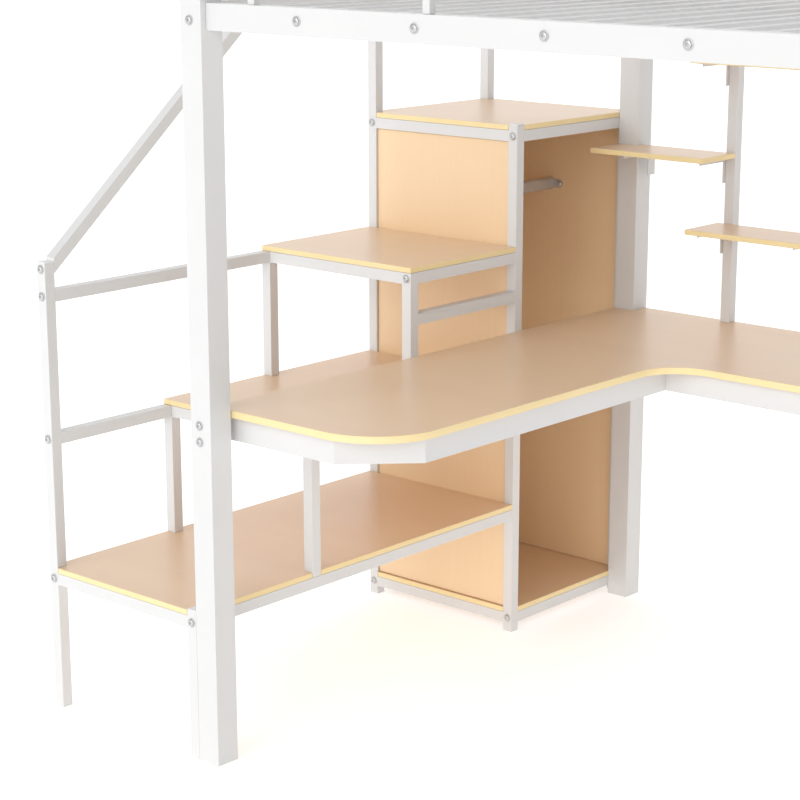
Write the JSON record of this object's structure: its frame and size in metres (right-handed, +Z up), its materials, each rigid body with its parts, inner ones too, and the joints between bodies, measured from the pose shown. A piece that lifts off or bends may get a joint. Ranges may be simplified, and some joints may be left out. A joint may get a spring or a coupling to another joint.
{
  "type": "loft bed with desk",
  "caption": "White steel loft bed with storage stairs ending in an open-sided wardrobe, an L-shaped wood-laminate desk and small shelves below.",
  "frame": {"origin": "centre of the footprint, on the floor", "axes": "+X along the bed, away from the stairs; +Y to the back, where the desk's long wing stands; +Z up"},
  "size_m": [2.4172, 1.45, 1.85],
  "materials": {
    "white_steel": "satin white powder coat",
    "grey_slats": "satin light grey powder coat",
    "rod_steel": "satin silver-grey coat",
    "laminate_boards": "light maple laminate, matt, with a yellower edge band",
    "edge_band": "satin edge band, yellower than the boards",
    "bolt_zinc": "zinc-plated button-head bolts and washers",
    "cap_plastic": "white plastic tube caps and feet",
    "laminate_panels": "light maple laminate, matt"
  },
  "bodies": {
    "root": {"bracket_high_left": "white_steel", "bracket_high_right": "white_steel", "bracket_low_left": "white_steel", "bracket_low_right": "white_steel", "bracket_middle_left": "white_steel", "bracket_middle_right": "white_steel", "centre_beam": "white_steel", "desk_back_rail": "white_steel", "desk_end_frame": "white_steel", "desk_front_rail": "white_steel", "desk_top": "laminate_boards", "desk_wing_frame": "white_steel", "end_rail_left": "white_steel", "end_rail_right": "white_steel", "guard_back": "white_steel", "guard_front": "white_steel", "guard_left": "white_steel", "guard_right": "white_steel", "handrail": "white_steel", "hanging_rod": "rod_steel", "landing_board": "laminate_boards", "landing_guard_back": "white_steel", "landing_guard_left": "white_steel", "post_back_left": "white_steel", "post_back_right": "white_steel", "post_front_left": "white_steel", "post_front_right": "white_steel", "shelf_high": "laminate_boards", "shelf_low": "laminate_boards", "shelf_middle": "laminate_boards", "shelf_post_left": "white_steel", "shelf_post_right": "white_steel", "side_bar_high": "white_steel", "side_bar_low": "white_steel", "side_rail_back": "white_steel", "side_rail_front": "white_steel", "slat_panel_left": "grey_slats", "slat_panel_right": "grey_slats", "stair_front_frame": "white_steel", "step_board_1": "laminate_boards", "step_board_2": "laminate_boards", "step_board_3": "laminate_boards", "step_frame_2": "white_steel", "step_frame_3": "white_steel", "step_rail_1_left": "white_steel", "step_rail_1_right": "white_steel", "step_rail_2_left": "white_steel", "step_rail_2_right": "white_steel", "step_rail_3_left": "white_steel", "step_rail_3_right": "white_steel", "wardrobe_back_frame": "white_steel", "wardrobe_back_panel": "laminate_panels", "wardrobe_floor": "laminate_boards", "wardrobe_front_frame": "white_steel", "wardrobe_front_panel": "laminate_panels", "wardrobe_left_panel": "laminate_panels", "wardrobe_rail_bottom_left": "white_steel", "wardrobe_rail_bottom_right": "white_steel", "wardrobe_rail_top_left": "white_steel", "wardrobe_rail_top_right": "white_steel"}
  },
  "joints": []
}
